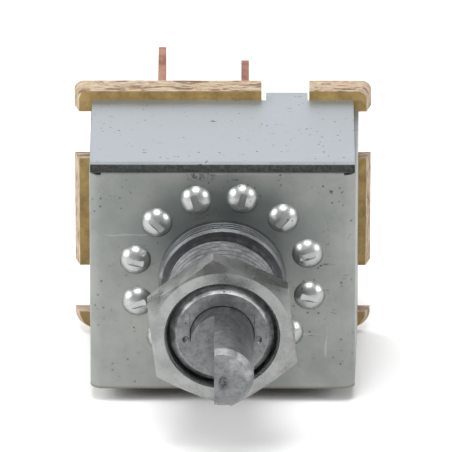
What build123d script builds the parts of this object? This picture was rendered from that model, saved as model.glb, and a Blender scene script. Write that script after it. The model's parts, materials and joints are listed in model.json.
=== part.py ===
from build123d import *
import math
import os

# Rotary fan switch, millimetres. The shaft runs along Y, its knob end towards -Y, and Z is up.
# Sizes are counted along Y from the housing's front plate. The nodes are then shifted so that
# the origin lies on the shaft's axis at the collar's front face, where the panel rests.

# Housing: one folded steel sheet, open at the bottom
sheet = 0.8
case_half_w = 13.55
case_half_h = 12.6
case_depth = 16.0
side_bend = 1.2
top_bend = 1.1
seam = 0.3
right_flare = 0.45
side_tab_h = 4.5
side_tab_in = 3.9
top_tab_w = 4.3
top_tab_x = 6.6
tab_lap = 2.0

# Detent bumps: pressed out of the front plate, one every 30 degrees, none at the bottom
bump_ring_r = 9.1
bump_step = 30.0
bump_count = 10
bump_turn = -2.3
bump_base_r = 1.6
bump_h = 0.9
bump_wall = 0.7
crest_w = 0.7
crest_len = 1.9
crest_depth = 0.22

# Bushing with a 7/16-28 thread, staked into the plate
thread_r = 5.556
collar_step = 0.944
collar_h = 2.3
relief_cut = 0.556
relief_len = 1.5
root_slope = 0.65
bushing_len = 13.5
bushing_chamfer = 0.9
spigot_step = 0.106
swage_lap = 0.95
swage_h = 0.7
punch_r = 0.36
punch_in = 1.93
punch_depth = 0.25

# Hex nut, 9/16 inch across flats: its wall is counted from the thread to the middle of a flat
nut_wall = 1.589
nut_h = 3.0
nut_proud = 0.2
nut_turn = 6.5
nut_sink_step = 0.294

# Shaft, 1/4 inch, with a flat for the knob
shaft_r = 3.175
flat_at = 0.79
round_len = 1.9
flat_len = 8.1
tip_chamfer = 0.5
flange_r = 4.9
flange_h = 1.2
tang_r = 2.8
tang_flat = 2.0
pilot_r = 1.3
washer_r = 5.2
washer_h = 0.35

# Rotor
rotor_r = 11.2
rotor_disc = 2.4
rotor_hub_r = 7.4
rotor_hub_len = 4.9
boss_r = 3.75
boss_flat = 3.0
boss_past_plate = 0.43
cage_r = 2.0
cage_back = 8.0

# Detent balls and their springs
ball_r = 1.1
ball_spring_r = 0.8
ball_spring_wire = 0.3
ball_spring_turns = 6

# Moving contact: a copper plate pushed back by three springs
plate_h = 0.7
plate_ring_r = 7.0
plate_lobe_r = 10.2
contact_ring_r = 8.7
contact_spring_ring = 5.45
contact_spring_r = 1.05
contact_spring_wire = 0.4
contact_spring_turns = 7
contact_bore_r = 1.4
contact_bore_depth = 4.5

# Terminal board: 1.6 laminate with edges that spread towards the back
board_h = 1.6
board_over_side = 1.25
board_over_top = 1.0
board_spread = 0.5
board_top_r = 1.0
board_bottom_r = 2.0
notch_in = 0.2
notch_top_in = 0.05
# room on each side of a tab: below and above it, or left and right of it
notch_room_upper = (0.45, 0.35)
notch_room_lower = (0.65, 0.25)
notch_room_top = (0.45, 0.15)

# Blade terminals, 1/4 inch by 0.032 inch
blade_w = 6.35
blade_t = 0.81
blade_len = 12.7
blade_corner = 1.0
blade_hole_r = 0.85
foot_half = 2.1
bend_in = 0.3
# each: blade's x, blade's middle z, angle of its rivet clockwise from the top
blade_common = (-6.3, 9.425, -22.0)
blade_low = (2.3, 7.925, 38.0)
blade_high = (12.0, -1.21, 98.0)
blade_medium = (-9.0, -6.82, 218.0)

# Rivets
rivet_head_r = 1.6
rivet_head_h = 1.2
rivet_shank_r = 0.9
rivet_tail_r = 1.4
rivet_tail_h = 0.5

# Fits
shaft_gap = 0.05
thread_gap = 0.045
ball_gap = 0.05
face_gap = 0.05
key_gap = 0.03
tab_gap = 0.02
spring_gap = 0.04

# Sizes that follow from others
collar_r = thread_r + collar_step
relief_r = thread_r - relief_cut
spigot_r = thread_r - spigot_step
swage_r = spigot_r + swage_lap
punch_at = thread_r - punch_in
nut_sink_r = thread_r + nut_sink_step
nut_af = 2 * (thread_r + nut_wall)
side_tab_z = case_half_h - side_tab_in
board_half_w = case_half_w + board_over_side
board_half_h = case_half_h + board_over_top

# Places that follow from the sizes
nut_front = -bushing_len - nut_proud
nut_back = nut_front + nut_h
swage_back = sheet + swage_h
washer_front = swage_back + face_gap
flange_front = washer_front + washer_h + face_gap
flange_back = flange_front + flange_h
rotor_front = flange_back + key_gap
hub_front = rotor_front + rotor_disc
hub_back = hub_front + rotor_hub_len
board_front = case_depth
board_back = board_front + board_h
plate_back = board_front - rivet_head_h - face_gap
plate_front = plate_back - plate_h
boss_back = plate_back + boss_past_plate
ball_y = sheet + face_gap + ball_r
cage_front = swage_back + face_gap
cage_bottom = cage_back - 0.6
contact_bore_bottom = hub_back - contact_bore_depth
tip_y = -bushing_len - round_len - flat_len
bump_sphere_r = (bump_base_r ** 2 + bump_h ** 2) / (2 * bump_h)
bump_sphere_y = bump_sphere_r - bump_h


def rod(radius, y0, y1, x=0.0, z=0.0):
    """A cylinder along Y from y0 to y1."""
    body = Cylinder(radius, y1 - y0)
    body = Rot(90, 0, 0) * body
    return Pos(x, (y0 + y1) / 2, z) * body


def block(x0, x1, y0, y1, z0, z1):
    size = Box(x1 - x0, y1 - y0, z1 - z0)
    return Pos((x0 + x1) / 2, (y0 + y1) / 2, (z0 + z1) / 2) * size


def around(radius, angle):
    """x and z of a point on a ring, its angle clockwise from the top seen from the front."""
    turn = math.radians(angle)
    return radius * math.sin(turn), radius * math.cos(turn)


def bump_angles():
    first = -bump_step * (bump_count - 1) / 2
    return [first + bump_step * i + bump_turn for i in range(bump_count)]


def turned(outline):
    """A ring or rod turned about the shaft's axis from radius and y points."""
    wire = Polyline(*[(r, y, 0) for r, y in outline], close=True)
    return revolve(make_face(wire), Axis.Y)


def case_wrap():
    """The front plate and both side flaps, bent from one strip; the right flap leans out."""
    w = case_half_w
    outer = [(-w, case_depth), (-w, 0), (w, 0), (w + right_flare, case_depth)]
    inner_right = [(w + right_flare - sheet, case_depth), (w - sheet, sheet)]
    inner_left = [(-w + sheet, sheet), (-w + sheet, case_depth)]
    face = make_face(Polyline(*outer, *inner_right, *inner_left, close=True))
    strip = extrude(face, amount=2 * case_half_h - seam - sheet, dir=(0, 0, 1))
    strip = Pos(0, 0, -case_half_h) * strip
    posts = strip.edges().filter_by(Axis.Z)
    outside = [e for e in posts if e.center().Y < 0.01]
    strip = fillet(outside, side_bend)
    posts = strip.edges().filter_by(Axis.Z)
    inside = [e for e in posts if abs(e.center().Y - sheet) < 0.01]
    inside = [e for e in inside if abs(abs(e.center().X) - w + sheet) < 0.02]
    return fillet(inside, side_bend - sheet)


def case_top():
    """The top flap, bent back from the plate's upper edge over both side flaps."""
    h = case_half_h
    foot = h - sheet - seam - 0.6
    leg = [(0, 0, foot), (0, 0, h), (0, case_depth, h), (0, case_depth, h - sheet)]
    back = [(0, sheet, h - sheet), (0, sheet, foot)]
    face = make_face(Polyline(*leg, *back, close=True))
    width = 2 * case_half_w - 0.2
    flap = extrude(face, amount=width / 2, dir=(1, 0, 0), both=True)
    along = flap.edges().filter_by(Axis.X)
    outside = [e for e in along if e.center().Y < 0.01 and e.center().Z > h - 0.01]
    flap = fillet(outside, top_bend)
    along = flap.edges().filter_by(Axis.X)
    inside = [e for e in along if abs(e.center().Y - sheet) < 0.01 and e.center().Z > foot + 0.1]
    flap = fillet(inside, top_bend - sheet)
    ends = case_half_w - side_bend
    for side in (-1, 1):
        edge = side * (ends + 3)
        corner = block(edge - 3, edge + 3, -1, side_bend, foot - 1, h - sheet - 0.02)
        flap = flap - corner
    return flap


def side_tab(side, z):
    """A tab on a side flap, through the board's notch and folded over its back."""
    lean = right_flare if side > 0 else 0.0
    out = case_half_w + lean
    stem = block(out - sheet, out, case_depth - 0.5, board_back + tab_gap + sheet,
                 z - side_tab_h / 2, z + side_tab_h / 2)
    lap = block(out - sheet - tab_lap, out, board_back + tab_gap, board_back + tab_gap + sheet,
                z - side_tab_h / 2, z + side_tab_h / 2)
    tab = stem + lap
    posts = tab.edges().filter_by(Axis.Z)
    corner = [e for e in posts if e.center().X > out - 0.01 and e.center().Y > board_back]
    tab = fillet(corner, sheet * 0.8)
    if side < 0:
        tab = mirror(tab, Plane.YZ)
    return tab


def top_tab():
    h = case_half_h
    x0 = top_tab_x - top_tab_w / 2
    x1 = top_tab_x + top_tab_w / 2
    stem = block(x0, x1, case_depth - 0.5, board_back + tab_gap + sheet, h - sheet, h)
    lap = block(x0, x1, board_back + tab_gap, board_back + tab_gap + sheet, h - sheet - tab_lap, h)
    tab = stem + lap
    along = tab.edges().filter_by(Axis.X)
    corner = [e for e in along if e.center().Z > h - 0.01 and e.center().Y > board_back + 0.1]
    return fillet(corner, sheet * 0.8)


def bump(angle):
    """One pressed bump: its dome, and the pocket behind it."""
    x, z = around(bump_ring_r, angle)
    ball = Pos(x, bump_sphere_y, z) * Sphere(bump_sphere_r)
    dome = ball & block(x - 3, x + 3, -3, sheet / 2, z - 3, z + 3)
    hollow = Pos(x, bump_sphere_y, z) * Sphere(bump_sphere_r - bump_wall)
    return dome, hollow


def crest(angle):
    """The narrow groove across a bump's crest, pointing at the shaft."""
    cut = Box(crest_w, 2 * crest_depth, crest_len)
    return Rot(0, angle, 0) * Pos(0, -bump_h, bump_ring_r) * cut


def housing_shell():
    shell = case_wrap() + case_top()
    for side in (-1, 1):
        for z in (-side_tab_z, side_tab_z):
            shell = shell + side_tab(side, z)
    shell = shell + top_tab()
    shell = shell - rod(spigot_r + tab_gap, -1, sheet + 1)
    for angle in bump_angles():
        dome, hollow = bump(angle)
        shell = shell + dome
        shell = shell - hollow
        shell = shell - crest(angle)
    return shell


def mounting_bushing():
    """Threaded bushing: its collar sits on the plate, and its tail is swaged behind it."""
    bore = shaft_r + shaft_gap
    end = -bushing_len
    outline = [
        (bore, end),
        (thread_r - bushing_chamfer, end),
        (thread_r, end + bushing_chamfer),
        (thread_r, -collar_h - relief_len),
        (relief_r, -collar_h - relief_len + (thread_r - relief_r)),
        (relief_r, -collar_h - root_slope),
        (relief_r + root_slope, -collar_h),
        (collar_r - 0.25, -collar_h),
        (collar_r, -collar_h + 0.25),
        (collar_r, 0),
        (spigot_r, 0),
        (spigot_r, sheet),
        (swage_r, sheet),
        (swage_r - 0.35, swage_back),
        (bore, swage_back),
    ]
    body = turned(outline)
    for side in (-1, 1):
        body = body - rod(punch_r, end - 1, end + punch_depth, side * punch_at, -0.5)
    return body


def mounting_nut():
    corner_r = nut_af / math.sqrt(3)
    hexagon = RegularPolygon(corner_r, 6, rotation=nut_turn + 30)
    body = extrude(Plane.XZ * hexagon, amount=nut_h)
    body = Pos(0, nut_back, 0) * body
    slope = math.tan(math.radians(30))
    face_r = nut_af / 2 - 0.15
    drop = (corner_r - face_r + 0.5) * slope
    envelope = turned([
        (0, nut_front),
        (face_r, nut_front),
        (corner_r + 0.5, nut_front + drop),
        (corner_r + 0.5, nut_back - drop),
        (face_r, nut_back),
        (0, nut_back),
    ])
    body = body & envelope
    hole = thread_r + thread_gap
    sink = nut_sink_r - hole
    cutter = turned([
        (0, nut_front - 1),
        (nut_sink_r + 1, nut_front - 1),
        (hole, nut_front + sink),
        (hole, nut_back - sink),
        (nut_sink_r + 1, nut_back + 1),
        (0, nut_back + 1),
    ])
    return body - cutter


def double_d(radius, half_flat, y0, y1, turn=0.0):
    """A rod along Y with two flats."""
    body = rod(radius, y0, y1) & block(-half_flat, half_flat, y0, y1, -radius, radius)
    return Rot(0, turn, 0) * body


def control_shaft():
    outline = [
        (0, tip_y),
        (shaft_r - tip_chamfer, tip_y),
        (shaft_r, tip_y + tip_chamfer),
        (shaft_r, flange_front),
        (flange_r, flange_front),
        (flange_r, flange_back),
        (0, flange_back),
    ]
    body = turned(outline)
    flat = block(-5, -flat_at, tip_y - 1, tip_y + flat_len, -5, 5)
    body = body - flat
    tang_back = boss_back - 0.6
    body = body + double_d(tang_r, tang_flat, flange_back, tang_back)
    return body + rod(pilot_r, tang_back, board_back - 0.4)


def thrust_washer():
    ring = rod(washer_r, washer_front, washer_front + washer_h)
    return ring - rod(shaft_r + 2 * shaft_gap, 0, flange_front)


def ball_angle(i):
    """Both balls sit in pockets at both ends of the shaft's travel."""
    return bump_step * 1.5 + bump_turn + 180 * i


def spring_angle(i):
    return 120 * i - bump_step


def detent_rotor():
    """Moulded driver: carries the balls in front and the contact plate behind."""
    body = rod(rotor_r, rotor_front, hub_front)
    body = body + rod(rotor_hub_r, hub_front, hub_back)
    body = body + double_d(boss_r, boss_flat, hub_back, boss_back)
    for i in range(2):
        x, z = around(bump_ring_r, ball_angle(i))
        body = body + rod(cage_r, cage_front, cage_back, x, z)
    for i in range(2):
        x, z = around(bump_ring_r, ball_angle(i))
        body = body - rod(ball_r + ball_gap, cage_front - 1, cage_bottom, x, z)
    for i in range(3):
        x, z = around(contact_spring_ring, spring_angle(i))
        body = body - rod(contact_bore_r, contact_bore_bottom, hub_back + 1, x, z)
    tang = double_d(tang_r + key_gap, tang_flat + key_gap, rotor_front - 1, boss_back + 1)
    return body - tang


def detent_ball(i):
    x, z = around(bump_ring_r, ball_angle(i))
    return Pos(x, ball_y, z) * Sphere(ball_r)


def coil(radius, wire, turns, y0, y1, x, z):
    """A compression spring along Y between y0 and y1."""
    length = y1 - y0 - 2 * wire / 2 - 2 * spring_gap
    path = Helix(length / turns, length, radius)
    section = Plane(path @ 0, z_dir=path % 0) * Circle(wire / 2)
    body = sweep(section, path=path, is_frenet=True)
    return Pos(x, y0 + wire / 2 + spring_gap, z) * Rot(-90, 0, 0) * body


def detent_spring(i):
    x, z = around(bump_ring_r, ball_angle(i))
    wire = ball_spring_wire
    front = ball_y + math.sqrt((ball_r + wire / 2 + spring_gap) ** 2 - ball_spring_r ** 2) - wire / 2
    return coil(ball_spring_r, wire, ball_spring_turns, front, cage_bottom, x, z)


def contact_spring(i):
    x, z = around(contact_spring_ring, spring_angle(i))
    return coil(contact_spring_r, contact_spring_wire, contact_spring_turns,
                contact_bore_bottom, plate_front, x, z)


def sector(radius, angle0, angle1, y0, y1):
    """A wedge of a disc, its angles clockwise from the top."""
    steps = 8
    reach = radius * 1.4
    points = [(0, 0)]
    for i in range(steps + 1):
        x, z = around(reach, angle0 + (angle1 - angle0) * i / steps)
        points.append((x, z))
    face = make_face(Polyline(*[(x, y0, z) for x, z in points], close=True))
    wedge = extrude(face, amount=y1 - y0, dir=(0, 1, 0))
    return wedge & rod(radius, y0, y1)


def contact_plate():
    """Copper plate: a long lobe for the common contact and two short ones."""
    body = rod(plate_ring_r, plate_front, plate_back)
    common = blade_common[2]
    body = body + sector(plate_lobe_r, common - 105, common + 15, plate_front, plate_back)
    low = blade_low[2] - bump_step
    body = body + sector(plate_lobe_r, low - 12, low + 12, plate_front, plate_back)
    medium = blade_medium[2] - 2 * bump_step
    body = body + sector(plate_lobe_r, medium - 12, medium + 12, plate_front, plate_back)
    gap = 2 * ball_gap
    return body - double_d(boss_r + gap, boss_flat + gap, plate_front - 1, plate_back + 1)


def board_blank():
    """The laminate's outline, spreading towards the back."""
    sizes = [(0.0, 0.0), (board_h, board_spread)]
    rings = []
    for depth, grow in sizes:
        w = board_half_w + grow
        h = board_half_h + grow
        place = Plane(origin=(0, board_front + depth, 0), x_dir=(1, 0, 0), z_dir=(0, -1, 0))
        outline = Rectangle(2 * w, 2 * h)
        upper = outline.vertices().group_by(Axis.Y)[-1]
        outline = fillet(upper, board_top_r)
        lower = outline.vertices().group_by(Axis.Y)[0]
        outline = fillet(lower, board_bottom_r)
        rings.append(place * outline)
    return loft(rings)


def terminal_board():
    body = board_blank()
    y0 = board_front - 1
    y1 = board_back + 1
    half = side_tab_h / 2
    upper = (side_tab_z - half - notch_room_upper[0], side_tab_z + half + notch_room_upper[1])
    lower = (-side_tab_z - half - notch_room_lower[0], -side_tab_z + half + notch_room_lower[1])
    for side in (-1, 1):
        for low, high in (upper, lower):
            inner = side * (case_half_w - sheet - notch_in)
            edge = side * (board_half_w + 3)
            body = body - block(min(inner, edge), max(inner, edge), y0, y1, low, high)
    left = top_tab_x - top_tab_w / 2 - notch_room_top[0]
    right = top_tab_x + top_tab_w / 2 + notch_room_top[1]
    floor = case_half_h - sheet - notch_top_in
    body = body - block(left, right, y0, y1, floor, board_half_h + 3)
    body = body - rod(pilot_r + shaft_gap, y0, y1)
    for blade in (blade_common, blade_low, blade_high, blade_medium):
        x, z = around(contact_ring_r, blade[2])
        body = body - rod(rivet_shank_r + key_gap, y0, y1, x, z)
    return body


def blade_terminal(blade):
    """A copper blade with a foot riveted flat on the board's back."""
    bx, bz, angle = blade
    rx, rz = around(contact_ring_r, angle)
    side = 1 if rx > bx else -1
    edge = bx - side * blade_t / 2
    reach = rx + side * foot_half
    y0 = board_back
    y1 = board_back + blade_len
    foot = block(min(edge, reach), max(edge, reach), y0, y0 + blade_t, rz - foot_half, rz + foot_half)
    ends = [e for e in foot.edges().filter_by(Axis.Y) if abs(e.center().X - reach) < 0.01]
    foot = fillet(ends, foot_half * 0.6)
    arm = block(bx - blade_t / 2, bx + blade_t / 2, y0, y1, bz - blade_w / 2, bz + blade_w / 2)
    tips = [e for e in arm.edges().filter_by(Axis.X) if e.center().Y > y1 - 0.01]
    arm = chamfer(tips, blade_corner)
    eye = Pos(bx, y1 - 5, bz) * Rot(0, 90, 0) * Cylinder(blade_hole_r, 4)
    body = foot + arm - eye
    upright = body.edges().filter_by(Axis.Z)
    bend = [e for e in upright if abs(e.center().X - edge) < 0.01 and e.center().Y < y0 + 0.01]
    body = fillet(bend, bend_in) if bend else body
    return body - rod(rivet_shank_r + key_gap, y0 - 1, y0 + 2, rx, rz)


def contact_rivet(blade):
    """Domed contact in front of the board, headed over behind the blade's foot."""
    x, z = around(contact_ring_r, blade[2])
    front = board_front - rivet_head_h
    back = board_back + blade_t
    edge = 0.5
    steps = 5
    outline = [(0, front)]
    for i in range(1, steps + 1):
        turn = math.radians(90 * i / steps)
        outline.append((rivet_head_r * math.sin(turn), front + (rivet_head_h - edge) * (1 - math.cos(turn))))
    outline.append((rivet_head_r, board_front))
    outline.append((rivet_shank_r, board_front))
    outline.append((rivet_shank_r, back))
    outline.append((rivet_tail_r, back))
    outline.append((rivet_tail_r * 0.8, back + rivet_tail_h))
    outline.append((0, back + rivet_tail_h))
    return Pos(x, 0, z) * turned(outline)


os.makedirs("parts", exist_ok=True)
nodes = {
    "housing_shell": housing_shell(),
    "mounting_bushing": mounting_bushing(),
    "mounting_nut": mounting_nut(),
    "control_shaft": control_shaft(),
    "thrust_washer": thrust_washer(),
    "detent_rotor": detent_rotor(),
    "contact_plate": contact_plate(),
    "terminal_board": terminal_board(),
}
for i in range(2):
    nodes[f"detent_ball_{i + 1}"] = detent_ball(i)
    nodes[f"detent_spring_{i + 1}"] = detent_spring(i)
for i in range(3):
    nodes[f"contact_spring_{i + 1}"] = contact_spring(i)
blades = {"common": blade_common, "low": blade_low, "medium": blade_medium, "high": blade_high}
for name, blade in blades.items():
    nodes[f"blade_{name}"] = blade_terminal(blade)
    nodes[f"rivet_{name}"] = contact_rivet(blade)
for name, shape in nodes.items():
    shape = Pos(0, collar_h, 0) * shape
    export_step(shape, f"parts/{name}.step")
    print(name, len(shape.solids()), round(shape.volume, 2))
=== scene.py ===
import json
import math
import bpy
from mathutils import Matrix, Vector


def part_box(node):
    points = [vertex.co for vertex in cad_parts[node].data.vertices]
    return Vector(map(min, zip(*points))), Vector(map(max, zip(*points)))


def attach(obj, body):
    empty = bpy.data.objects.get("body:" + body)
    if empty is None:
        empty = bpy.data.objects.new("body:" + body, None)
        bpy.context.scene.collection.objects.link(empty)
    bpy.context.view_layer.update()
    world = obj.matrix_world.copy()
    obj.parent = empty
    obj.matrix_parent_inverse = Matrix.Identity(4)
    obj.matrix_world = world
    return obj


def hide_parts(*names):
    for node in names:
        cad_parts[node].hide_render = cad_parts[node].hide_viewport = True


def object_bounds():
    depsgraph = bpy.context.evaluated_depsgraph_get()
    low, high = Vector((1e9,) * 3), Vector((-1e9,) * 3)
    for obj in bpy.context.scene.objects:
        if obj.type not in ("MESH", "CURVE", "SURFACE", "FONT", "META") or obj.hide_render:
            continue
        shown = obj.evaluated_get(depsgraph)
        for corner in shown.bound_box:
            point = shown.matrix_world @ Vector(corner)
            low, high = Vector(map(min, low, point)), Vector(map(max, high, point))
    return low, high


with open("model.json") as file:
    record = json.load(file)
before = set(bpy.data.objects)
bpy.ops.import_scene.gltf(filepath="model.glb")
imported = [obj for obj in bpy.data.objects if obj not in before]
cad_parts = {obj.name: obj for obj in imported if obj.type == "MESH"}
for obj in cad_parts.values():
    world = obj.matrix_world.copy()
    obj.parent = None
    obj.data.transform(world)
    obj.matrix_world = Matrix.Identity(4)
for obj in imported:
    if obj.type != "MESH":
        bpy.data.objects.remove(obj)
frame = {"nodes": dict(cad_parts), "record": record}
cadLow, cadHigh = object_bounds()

bpy.ops.object.select_all(action="DESELECT")
scene = bpy.context.scene


# shader sockets that add their own Math nodes
class Value:
    def __init__(self, paint, socket):
        self.paint = paint
        self.socket = socket

    def join(self, operation, first, second):
        return self.paint.node("ShaderNodeMath", {"operation": operation}, {0: first, 1: second})

    def __add__(self, other): return self.join("ADD", self, other)
    def __radd__(self, other): return self.join("ADD", other, self)
    def __sub__(self, other): return self.join("SUBTRACT", self, other)
    def __rsub__(self, other): return self.join("SUBTRACT", other, self)
    def __mul__(self, other): return self.join("MULTIPLY", self, other)
    def __rmul__(self, other): return self.join("MULTIPLY", other, self)


class Paint:
    def __init__(self, name):
        self.material = bpy.data.materials.new(name)
        self.material.use_nodes = True
        self.tree = self.material.node_tree
        self.shader = self.tree.nodes["Principled BSDF"]
        self.place = self.node("ShaderNodeTexCoord", out="Object")
        self.facing = self.node("ShaderNodeNewGeometry", out="Normal")

    # makes a node, sets its settings, then feeds its inputs
    def node(self, kind, settings=None, inputs=None, out=0):
        made = self.tree.nodes.new(kind)
        for key, setting in (settings or {}).items():
            if key == "stops":
                ramp = made.color_ramp
                while len(ramp.elements) < len(setting):
                    ramp.elements.new(0.5)
                for element, (place, colour) in zip(ramp.elements, setting):
                    element.position = place
                    element.color = colour
            else:
                setattr(made, key, setting)
        for key, value in (inputs or {}).items():
            self.feed(made.inputs[key], value)
        return Value(self, made.outputs[out])

    def feed(self, socket, value):
        if isinstance(value, Value):
            self.tree.links.new(value.socket, socket)
        elif socket.type == "RGBA" and len(value) == 3:
            socket.default_value = (*value, 1)
        else:
            socket.default_value = value

    def noise(self, scale, detail=4.0, rough=0.6, stretch=(1, 1, 1)):
        where = self.place
        if stretch != (1, 1, 1):
            where = self.node("ShaderNodeMapping", None, {"Vector": where, "Scale": stretch})
        inputs = {"Vector": where, "Scale": scale, "Detail": detail, "Roughness": rough}
        return self.node("ShaderNodeTexNoise", None, inputs)

    def cells(self, scale):
        return self.node("ShaderNodeTexVoronoi", None, {"Vector": self.place, "Scale": scale}, out="Distance")

    # stretched noise for streaks, and its strongest parts only
    def streaks(self, scale, stretch, low, high):
        return self.step(self.noise(scale, 3, 0.55, stretch), low, high)

    # distance from a point, or from the shaft's axis
    def far(self, point, flatten=(1, 1, 1)):
        flat = self.node("ShaderNodeMapping", None, {"Vector": self.place, "Scale": flatten})
        return self.node("ShaderNodeVectorMath", {"operation": "DISTANCE"}, {0: flat, 1: point}, out="Value")

    # 0 below low, 1 above high
    def step(self, value, low, high):
        return self.node("ShaderNodeMapRange", {"clamp": True}, {0: value, 1: low, 2: high, 3: 0.0, 4: 1.0})

    def blend(self, amount, first, second):
        mix = self.tree.nodes.new("ShaderNodeMix")
        mix.data_type = "RGBA"
        self.feed(mix.inputs[0], amount)
        self.feed(mix.inputs[6], first)
        self.feed(mix.inputs[7], second)
        return Value(self, mix.outputs[2])

    def axis(self, vector, name):
        return self.node("ShaderNodeSeparateXYZ", None, {0: vector}, out=name)

    def bump(self, height, strength, distance):
        inputs = {"Height": height, "Strength": strength, "Distance": distance}
        return self.node("ShaderNodeBump", None, inputs, out="Normal")

    def finish(self, **values):
        for key, value in values.items():
            self.feed(self.shader.inputs[key.replace("_", " ")], value)
        return self.material


def plateZinc(name, look):
    # plated sheet: cloudy plating, dark pits and dirt, burnished bumps whose light colour is partly a painted
    # highlight, a painted shade ring around the bumps, upward faces lightened as painted light, and a dark
    # bend that is painted dark reflection over stretch marks
    p = Paint(name)
    y = p.axis(p.place, "Y")
    z = p.axis(p.place, "Z")
    cloud = p.step(p.noise(look["cloudScale"], 5, 0.65), 0.35, 0.68)
    wash = p.step(p.noise(70, 3, 0.5), 0.35, 0.65)
    grain = p.noise(look["grainScale"], 4, 0.75)
    patches = p.step(p.noise(330, 4, 0.6), 0.47, 0.60)
    dots = (1 - p.step(p.cells(1250), 0.10, 0.20)) * patches
    flecks = p.streaks(1500, (0.45, 1, 0.8), 0.665, 0.71) * patches
    dirt = p.step(p.noise(2300, 6, 0.8), 0.60, 0.70) * p.step(p.noise(240, 3, 0.6), 0.52, 0.64)
    scratch = p.streaks(700, (0.10, 1, 1.5), 0.70, 0.74) + p.streaks(800, (1.6, 1, 0.12), 0.71, 0.75)
    ring = p.far((0, 0, 0), (1, 0, 1))
    slope = p.axis(p.facing, "Z")
    # burnished bumps: smoother and lighter, their light colour partly a painted highlight
    bumpSkin = p.step(look["front"] - y, 0.00012, 0.00030) * p.step(look["ringReach"] - ring, 0, 0.0003)
    # painted shade: a darker bluish ring around the bumps, on the upper part of the plate, standing in for
    # the shading of the plate's curve around the dimples
    haloShade = p.step(ring, *look["haloStart"]) * (1 - p.step(ring, *look["haloEnd"]))
    haloShade = haloShade * p.step(z, *look["haloRise"])
    # painted light: faces turned upwards are lightened towards a pale bluish tone
    up = p.step(slope, 0.80, 0.97)
    # the dark band on the top bend is painted dark reflection, over real stretch marks with specks; it is
    # also made rougher
    bend = p.step(slope, 0.16, 0.34) * (1 - p.step(slope, 0.84, 0.90))
    bend = bend * p.step(z, look["high"] - look["bendStart"], look["high"] - look["bendFull"])
    edge = 1 - p.step(z, look["low"] + 0.00008, look["low"] + 0.00032)
    smear = p.far(look["smear"], look["smearShape"])
    smear = (1 - p.step(smear, 0.0003, 0.0008)) * p.step(p.noise(1800, 6, 0.8), 0.46, 0.56)

    base = p.blend(cloud * 0.65 + wash * 0.35, look["dark"], look["light"])
    base = p.blend(haloShade * 0.5, base, look["haloShade"])
    base = p.blend(up * 0.8, base, look["top"])
    base = p.blend(bumpSkin * 0.85, base, look["burnishAndSheen"])
    base = p.blend(bend * (0.65 + grain * 0.5), base, look["bendStretchAndShade"])
    base = p.blend(scratch * 0.22, base, look["scratch"])
    base = p.blend(dots * 0.6 + flecks * 0.7 + dirt * 0.5, base, look["speck"])
    base = p.blend(smear * 0.85, base, look["speck"])
    base = p.blend(edge * 0.7, base, look["sheared"])
    rough = look["rough"] + cloud * 0.08 + grain * 0.10 + (dots + flecks) * 0.2 - bumpSkin * 0.12 + bend * 0.3
    height = grain * 0.5 + cloud * 0.3 - scratch * 0.4 - dots * 0.7 - flecks * 0.7 - dirt * 0.5
    return p.finish(Base_Color=base, Metallic=look["metal"], Roughness=rough,
                    Normal=p.bump(height, look["bump"], 0.00005))


def castZinc(name, look):
    # die casting: mottled skin with pits, rubbed bright places, a rough gate mark on the shaft's tip and a
    # painted highlight on the bushing's end chamfer
    p = Paint(name)
    x = p.axis(p.place, "X")
    y = p.axis(p.place, "Y")
    z = p.axis(p.place, "Z")
    ring = p.far((0, 0, 0), (1, 0, 1))
    mottle = p.step(p.noise(look["mottleScale"], 6, 0.7), 0.36, 0.66)
    fine = p.noise(3600, 4, 0.75)
    pits = 1 - p.step(p.cells(2200), 0.08, 0.22)
    pits = pits * p.step(p.noise(520, 3, 0.6), 0.45, 0.6)
    rubbed = p.streaks(420, (1, 0.3, 1), 0.62, 0.74)
    gate = 1 - p.step(p.far(look["gate"], look["gateShape"]), 0.0005, 0.0009)
    gate = gate * p.step(p.noise(2600, 5, 0.8), 0.42, 0.56)
    collar = p.step(ring, look["thread"] + 0.00006, look["thread"] + 0.00019)
    # two scored lines across the bushing's end, one each side of the bore
    end = look["end"]
    face = p.step(end + 0.00004 - y, -0.00002, 0.00002) * p.step(y, end - 0.0002, end - 0.0001)
    fromLine = p.node("ShaderNodeMath", {"operation": "ABSOLUTE"}, {0: x * x - look["scoreAt"] ** 2})
    lines = p.step(0.00005 - fromLine * 160, 0, 0.00002)
    lines = lines * face * p.step(z, 0.0002, 0.0005) * (1 - p.step(z, 0.0021, 0.0024))
    base = p.blend(mottle, look["dark"], look["light"])
    base = p.blend(collar * 0.6, base, look["collar"])
    # painted highlight: the end chamfer's ring is lightened in patches, standing in for the lamps' glint on
    # it
    rimHighlight = p.step(ring, look["rimAt"], look["rimAt"] + 0.00012) * (1 - p.step(y, end + 0.00055, end + 0.00070))
    base = p.blend(rubbed * 0.5, base, look["rubbed"])
    rimHighlightPatches = p.step(p.noise(300, 4, 0.6), 0.42, 0.60)
    base = p.blend(rimHighlight * rimHighlightPatches * (0.5 + mottle * 0.5), base, look["rimHighlight"])
    base = p.blend(pits * 0.6 + gate * 0.8 + lines * 0.6, base, look["pit"])
    rough = look["rough"] + mottle * 0.10 - rubbed * 0.10 + fine * 0.08 + gate * 0.2
    height = fine * 0.8 + mottle * 0.3 - pits * 0.6 - gate * 1.2
    return p.finish(Base_Color=base, Metallic=look["metal"], Roughness=rough,
                    Normal=p.bump(height, look["bump"], 0.00006))


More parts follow.
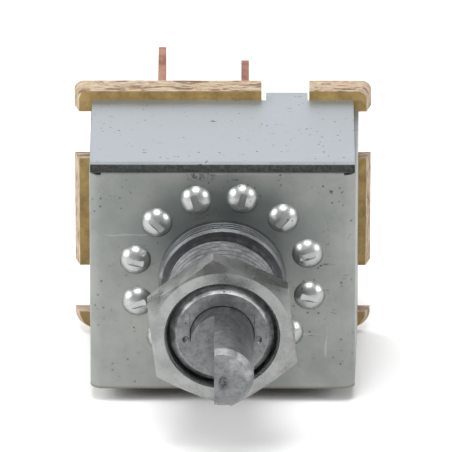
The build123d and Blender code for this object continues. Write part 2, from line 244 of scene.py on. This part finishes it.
def brightPlate(name, look):
    # bright plating over steel, with small pits; the nut's inner thread is drawn as bump and its bore is
    # darkened as painted shade
    p = Paint(name)
    rub = p.step(p.noise(420, 4, 0.6), 0.40, 0.64)
    fine = p.noise(4200, 3, 0.6, (1, 0.25, 1))
    pits = (1 - p.step(p.cells(1500), 0.08, 0.18)) * p.step(p.noise(380, 3, 0.6), 0.50, 0.60)
    inside = 1 - p.step(p.far((0, 0, 0), (1, 0, 1)), look["bore"] + 0.00002, look["bore"] + 0.00012)
    base = p.blend(rub, look["dark"], look["light"])
    base = p.blend(pits * 0.7, base, look["pit"])
    # painted shade: the bore's wall takes the dark pit colour
    base = p.blend(inside * 0.6, base, look["pit"])
    phase = p.axis(p.place, "Y") * (2 * math.pi / look["pitch"])
    turns = p.node("ShaderNodeMath", {"operation": "SINE"}, {0: phase})
    rough = look["rough"] + rub * 0.08 + fine * 0.08 + pits * 0.2
    height = fine * 0.4 + rub * 0.4 - pits + inside * turns * 6
    return p.finish(Base_Color=base, Metallic=1.0, Roughness=rough,
                    Normal=p.bump(height, look["bump"], 0.00003))


def bareCopper(name, look):
    # bare copper: dull pink with brown tarnish and drawing lines along the blade
    p = Paint(name)
    tarnish = p.step(p.noise(380, 5, 0.65), 0.40, 0.66)
    lines = p.noise(2600, 2, 0.5, (1, 0.08, 1))
    base = p.blend(tarnish, look["light"], look["dark"])
    base = p.blend(p.step(lines, 0.55, 0.7) * 0.35, base, look["line"])
    return p.finish(Base_Color=base, Metallic=0.85, Roughness=look["rough"] + tarnish * 0.18,
                    Normal=p.bump(lines, look["bump"], 0.00002))


def laminateBoard(name, look):
    # paper laminate: mustard faces, pale fibrous punched edges with brown streaks along the layers
    p = Paint(name)
    across = p.axis(p.facing, "Y")
    edge = 1 - p.step(across * across, 0.55, 0.92)
    mottle = p.step(p.noise(600, 5, 0.65), 0.38, 0.66)
    layers = p.noise(2400, 6, 0.8, (0.30, 1.5, 0.30))
    tufts = p.noise(2600, 6, 0.8)
    streaks = p.streaks(1900, (0.28, 1.6, 0.28), 0.54, 0.62)
    reds = p.streaks(1500, (0.35, 1.3, 0.35), 0.58, 0.68)
    face = p.blend(mottle, look["faceDark"], look["faceLight"])
    face = p.blend(p.step(p.noise(1500, 4, 0.7), 0.58, 0.7) * 0.4, face, look["speck"])
    side = p.blend(p.step(layers, 0.36, 0.64), look["edgeDark"], look["edgeLight"])
    side = p.blend(reds * 0.6, side, look["red"])
    side = p.blend(streaks * 0.75, side, look["speck"])
    base = p.blend(edge, face, side)
    height = mottle * 0.2 + edge * (layers * 0.7 + tufts * 0.8 - streaks * 0.5)
    return p.finish(Base_Color=base, Roughness=0.50 + edge * 0.35,
                    Normal=p.bump(height, look["bump"], 0.00016))


def mouldedPhenolic(name, look):
    p = Paint(name)
    flow = p.step(p.noise(300, 4, 0.6), 0.4, 0.65)
    fine = p.noise(3000, 3, 0.6)
    base = p.blend(flow, look["dark"], look["light"])
    return p.finish(Base_Color=base, Roughness=0.42 + fine * 0.16, Normal=p.bump(fine, 0.25, 0.00003))


def drawnWire(name, look):
    p = Paint(name)
    lines = p.noise(3500, 2, 0.5)
    base = p.blend(p.step(lines, 0.4, 0.65), look["dark"], look["light"])
    return p.finish(Base_Color=base, Metallic=1.0, Roughness=0.28 + lines * 0.14,
                    Normal=p.bump(lines, 0.2, 0.00001))


shellLow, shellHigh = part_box("housing_shell")
bushLow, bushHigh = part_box("mounting_bushing")
tailDepth = 0.0015  # how far the bushing reaches behind the front of the sheet
plateFront = bushHigh.y - tailDepth

finishes = {
    "plated_steel": plateZinc("platedSteel", {
        "dark": (0.205, 0.220, 0.210), "light": (0.300, 0.310, 0.290), "top": (0.44, 0.475, 0.515),
        "haloShade": (0.13, 0.16, 0.165), "burnishAndSheen": (0.44, 0.455, 0.45), "bendStretchAndShade": (0.022, 0.024, 0.025),
        "scratch": (0.60, 0.61, 0.60), "speck": (0.055, 0.058, 0.058), "sheared": (0.16, 0.125, 0.10),
        "smear": (-0.00095, 0.0005, 0.0114), "smearShape": (0.42, 0.2, 1.0), "ringReach": 0.0115,
        "haloStart": (0.0058, 0.0072), "haloEnd": (0.0092, 0.0122), "haloRise": (-0.001, 0.006),
        "bendStart": 0.0016, "bendFull": 0.0012, "front": plateFront, "high": shellHigh.z, "low": shellLow.z,
        "cloudScale": 260, "grainScale": 2800, "metal": 0.85, "rough": 0.36, "bump": 0.4}),
    "die_cast_zinc": castZinc("dieCastZinc", {
        "dark": (0.125, 0.132, 0.135), "light": (0.235, 0.242, 0.243), "rubbed": (0.40, 0.41, 0.41),
        "pit": (0.028, 0.028, 0.028), "collar": (0.060, 0.068, 0.072), "rimHighlight": (0.62, 0.63, 0.63),
        "gate": (0.00020, -0.0064, -0.0004), "gateShape": (1.5, 0.3, 0.9), "thread": 0.00556,
        "scoreAt": 0.0032558, "rimAt": 0.00458, "end": bushLow.y, "mottleScale": 1300,
        "metal": 0.85, "rough": 0.36, "bump": 0.55}),
    "bright_nut": brightPlate("brightNut", {
        "dark": (0.225, 0.23, 0.225), "light": (0.315, 0.32, 0.315), "pit": (0.08, 0.08, 0.08),
        "bore": 0.005601, "pitch": 0.000907, "rough": 0.22, "bump": 0.3}),
    "spring_wire": drawnWire("springWire", {"dark": (0.34, 0.35, 0.36), "light": (0.55, 0.56, 0.57)}),
    "black_phenolic": mouldedPhenolic("blackPhenolic", {
        "dark": (0.020, 0.018, 0.016), "light": (0.045, 0.040, 0.036)}),
    "laminate": laminateBoard("laminate", {
        "faceDark": (0.20, 0.13, 0.035), "faceLight": (0.33, 0.225, 0.075), "edgeDark": (0.30, 0.215, 0.135),
        "edgeLight": (0.56, 0.46, 0.34), "red": (0.33, 0.14, 0.08), "speck": (0.12, 0.060, 0.030),
        "bump": 1.0}),
    "copper": bareCopper("bareCopper", {
        "light": (0.40, 0.20, 0.14), "dark": (0.22, 0.10, 0.07), "line": (0.52, 0.30, 0.23),
        "rough": 0.40, "bump": 0.3}),
}

for part in frame["record"]["subparts"]:
    node = frame["nodes"][part["node"]]
    node.data.materials.clear()
    node.data.materials.append(finishes[part["material_slot"]])
print("finishes on", len(frame["nodes"]), "nodes")


# threaded bushing: the CAD node has a plain thread, so a turned body with a real helix stands for it
bushing = {
    "bore": 0.003225, "boreChamfer": 0.00008, "crest": 0.005556, "root": 0.00502, "pitch": 0.000907,
    "crestFlat": 0.12, "rootFlat": 0.12, "endChamfer": 0.0009, "gapToCollar": 0.00045, "relief": 0.0050,
    "collar": bushHigh.x, "collarEase": 0.00025, "groove": 0.00010, "grooves": (0.00062, 0.00108, 0.00154),
    "spigot": 0.00545, "swage": 0.0064, "swageEase": 0.00035, "sheet": 0.0008,
    "grooveSlope": 0.9, "steps": 96, "seamTurn": 0.013, "overlap": 0.0003, "spare": 0.0002,
    "turnsBefore": 2, "turnsSpare": 4, "weld": 0.000002, "fineWeld": 0.000001, "lastWeld": 0.000003,
    "cutWeld": 0.0000001,
    "punchAt": 0.00368, "punchSize": 0.00036, "punchDrop": -0.0005, "punchOut": 0.00008,
    "punchStretch": (1.0, 0.8, 1.25), "smoothBelow": 28}


def deselect():
    bpy.ops.object.select_all(action="DESELECT")


samePlace = 0.000001  # nearer than this, a vertex is at the point


# a chain of points in the XY plane, drawn one extrusion at a time
def drawProfile(name, points, closed):
    deselect()
    bpy.ops.mesh.primitive_plane_add(size=0.001, location=(0, 0, 0))
    piece = bpy.context.object
    piece.name = name
    bpy.ops.object.mode_set(mode="EDIT")
    bpy.ops.mesh.select_all(action="SELECT")
    bpy.ops.mesh.merge(type="CENTER")
    bpy.ops.transform.translate(value=(*points[0], 0))
    for here, there in zip(points, points[1:]):
        move = (there[0] - here[0], there[1] - here[1], 0)
        bpy.ops.mesh.extrude_region_move(TRANSFORM_OT_translate={"value": move})
    if closed:
        bpy.ops.object.mode_set(mode="OBJECT")
        for vertex in piece.data.vertices:
            place = (vertex.co.x, vertex.co.y)
            vertex.select = min(math.dist(place, points[0]), math.dist(place, points[-1])) < samePlace
        bpy.ops.object.mode_set(mode="EDIT")
        bpy.ops.mesh.edge_face_add()
    return piece


# revolve the profile about the shaft's axis, with its seam turned away from the helix's seam
def turnProfile(name, points, size):
    piece = drawProfile(name, points, True)
    bpy.ops.mesh.select_all(action="SELECT")
    bpy.ops.mesh.spin(steps=size["steps"], angle=2 * math.pi, center=(0, 0, 0), axis=(0, 1, 0))
    bpy.ops.mesh.select_all(action="SELECT")
    bpy.ops.mesh.remove_doubles(threshold=size["weld"])
    bpy.ops.mesh.normals_make_consistent(inside=False)
    bpy.ops.transform.rotate(value=size["seamTurn"], orient_axis="Y", center_override=(0, 0, 0))
    bpy.ops.object.mode_set(mode="OBJECT")
    return piece


# boolean of two pieces into the first
def combine(piece, other, operation):
    deselect()
    bpy.context.view_layer.objects.active = piece
    piece.select_set(True)
    change = piece.modifiers.new(operation, "BOOLEAN")
    change.operation = operation
    change.object = other
    change.solver = "EXACT"
    bpy.ops.object.modifier_apply(modifier=change.name)
    bpy.data.objects.remove(other, do_unlink=True)


# one pitch of the thread's outline, screwed along the axis and cut square at both ends
def threadedRod(name, start, stop, size):
    pitch = size["pitch"]
    crest = size["crestFlat"] * pitch / 2
    root = size["rootFlat"] * pitch / 2
    points = [(size["root"], 0), (size["root"], root), (size["crest"], pitch / 2 - crest),
              (size["crest"], pitch / 2 + crest), (size["root"], pitch - root), (size["root"], pitch)]
    points = [(r, y + start - size["turnsBefore"] * pitch) for r, y in points]
    piece = drawProfile(name, points, False)
    bpy.ops.object.mode_set(mode="OBJECT")
    screw = piece.modifiers.new("helix", "SCREW")
    screw.axis = "Y"
    screw.angle = 2 * math.pi
    screw.screw_offset = pitch
    screw.iterations = math.ceil((stop - start) / pitch) + size["turnsSpare"]
    screw.steps = size["steps"]
    screw.render_steps = size["steps"]
    screw.use_merge_vertices = True
    screw.merge_threshold = size["weld"]
    bpy.ops.object.modifier_apply(modifier="helix")
    bpy.ops.object.mode_set(mode="EDIT")
    for place, outward in ((start, -1), (stop, 1)):
        bpy.ops.mesh.select_all(action="SELECT")
        bpy.ops.mesh.bisect(plane_co=(0, place, 0), plane_no=(0, outward, 0), use_fill=True,
                            clear_outer=True, threshold=size["cutWeld"])
    bpy.ops.mesh.select_all(action="SELECT")
    bpy.ops.mesh.remove_doubles(threshold=size["fineWeld"])
    bpy.ops.mesh.normals_make_consistent(inside=False)
    bpy.ops.object.mode_set(mode="OBJECT")
    return piece


def bushingBody(size):
    end = bushLow.y
    threadEnd = -size["gapToCollar"]
    ease = size["overlap"]
    rod = threadedRod("threadedBushing", end - size["spare"], threadEnd, size)
    reach = size["crest"] + ease
    envelope = turnProfile("envelope", [
        (size["bore"] + size["boreChamfer"], end), (size["crest"] - size["endChamfer"], end),
        (reach, end + size["endChamfer"] + ease), (reach, threadEnd + ease),
        (size["bore"], threadEnd + ease), (size["bore"], end + size["boreChamfer"])], size)
    combine(rod, envelope, "INTERSECT")
    collarSide = [(size["collar"], size["collarEase"])]
    for place in size["grooves"]:
        half = size["groove"] * size["grooveSlope"]
        collarSide += [(size["collar"], place - half), (size["collar"] - size["groove"], place),
                       (size["collar"], place + half)]
    tail = turnProfile("tail", [
        (size["bore"], threadEnd - ease), (size["relief"], threadEnd - ease), (size["relief"], 0),
        (size["collar"] - size["collarEase"], 0), *collarSide, (size["collar"], plateFront),
        (size["spigot"], plateFront), (size["spigot"], plateFront + size["sheet"]),
        (size["swage"], plateFront + size["sheet"]), (size["swage"] - size["swageEase"], bushHigh.y),
        (size["bore"], bushHigh.y)], size)
    combine(rod, tail, "UNION")
    for side in (-1, 1):
        deselect()
        mark = (side * size["punchAt"], end, size["punchDrop"])
        ball = (mark[0], end - size["punchOut"], mark[2])
        bpy.ops.mesh.primitive_ico_sphere_add(subdivisions=2, radius=size["punchSize"], location=ball)
        bpy.ops.object.mode_set(mode="EDIT")
        bpy.ops.transform.resize(value=size["punchStretch"], center_override=mark)
        bpy.ops.object.mode_set(mode="OBJECT")
        combine(rod, bpy.context.object, "DIFFERENCE")
    bpy.ops.object.mode_set(mode="EDIT")
    bpy.ops.mesh.select_all(action="SELECT")
    bpy.ops.mesh.remove_doubles(threshold=size["lastWeld"])
    bpy.ops.mesh.dissolve_degenerate(threshold=size["weld"])
    bpy.ops.mesh.fill_holes(sides=0)
    bpy.ops.mesh.delete_loose()
    bpy.ops.object.mode_set(mode="OBJECT")
    return rod


def finishMesh(piece, slot, angle):
    deselect()
    bpy.context.view_layer.objects.active = piece
    piece.select_set(True)
    bpy.ops.object.transform_apply(location=True, rotation=True, scale=True)
    bpy.ops.object.shade_smooth_by_angle(angle=math.radians(angle))
    piece.data.materials.clear()
    piece.data.materials.append(finishes[slot])
    deselect()


threaded = bushingBody(bushing)
finishMesh(threaded, "die_cast_zinc", bushing["smoothBelow"])
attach(threaded, "case")
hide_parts("mounting_bushing")
print("bushing cut,", len(threaded.data.polygons), "faces")


# lighting and floor
stage = {
    "floorSize": 3.0, "floorDrop": 0.0002, "floorDark": (0.86, 0.86, 0.86), "floorLight": (0.88, 0.88, 0.88),
    "world": 0.38}

# place, size and power; all of them face the origin
lamps = {
    "overhead": ((0.0, -0.14, 0.42), 0.20, 1.5),
    "left": ((-0.42, -0.15, 0.20), 0.20, 1.5),
    "right": ((0.42, -0.15, 0.20), 0.20, 1.0),
    "back": ((0.0, 0.55, 0.28), 0.50, 0.7),
    "backLeft": ((-0.33, 0.33, 0.28), 0.26, 1.5),
}


def softLight(name, place, size, power):
    data = bpy.data.lights.new(name, "AREA")
    data.size = size
    data.energy = power
    lamp = bpy.data.objects.new(name, data)
    scene.collection.objects.link(lamp)
    lamp.location = place
    lamp.rotation_euler = (-Vector(place)).to_track_quat("-Z", "Y").to_euler()


deselect()
bpy.ops.mesh.primitive_plane_add(size=stage["floorSize"], location=(0, 0, 0))
floor = bpy.context.object
floor.name = "floor"
bpy.ops.object.mode_set(mode="EDIT")
bpy.ops.mesh.select_all(action="SELECT")
bpy.ops.transform.translate(value=(0, 0, cadLow.z - stage["floorDrop"]))
bpy.ops.object.mode_set(mode="OBJECT")
floor.select_set(False)
paper = Paint("paleFloor")
paperTone = paper.step(paper.noise(6, 2, 0.5), 0.2, 0.8)
floor.data.materials.append(paper.finish(
    Base_Color=paper.blend(paperTone, stage["floorDark"], stage["floorLight"]), Roughness=0.9))

world = bpy.data.worlds.new("studio")
scene.world = world
world.use_nodes = True
world.node_tree.nodes["Background"].inputs[0].default_value = (1, 1, 1, 1)
world.node_tree.nodes["Background"].inputs[1].default_value = stage["world"]
for name, (place, size, power) in lamps.items():
    softLight(name, place, size, power)

# the camera looks down on the switch from in front, through a long lens
shot = {
    "azimuth": 0.1, "elevation": 25.25, "lens": 800.0, "width": 0.04612, "right": 0.00036, "up": 0.00526,
    "near": 0.01, "far": 20}
azimuth = math.radians(shot["azimuth"])
elevation = math.radians(shot["elevation"])
level = math.cos(elevation)
back = Vector((math.sin(azimuth) * level, -math.cos(azimuth) * level, math.sin(elevation)))
right = Vector((math.cos(azimuth), math.sin(azimuth), 0))
up = back.cross(right)
target = Vector((0, plateFront, 0)) + right * shot["right"] + up * shot["up"]
lensData = bpy.data.cameras.new("camera")
lensData.lens = shot["lens"]
camera = bpy.data.objects.new("camera", lensData)
scene.collection.objects.link(camera)
camera.location = target + back * (shot["width"] * shot["lens"] / lensData.sensor_width)
camera.rotation_euler = (-back).to_track_quat("-Z", "Y").to_euler()
lensData.clip_start = shot["near"]
lensData.clip_end = shot["far"]
scene.camera = camera
scene.view_settings.view_transform = "Standard"
print("lights and camera ready")
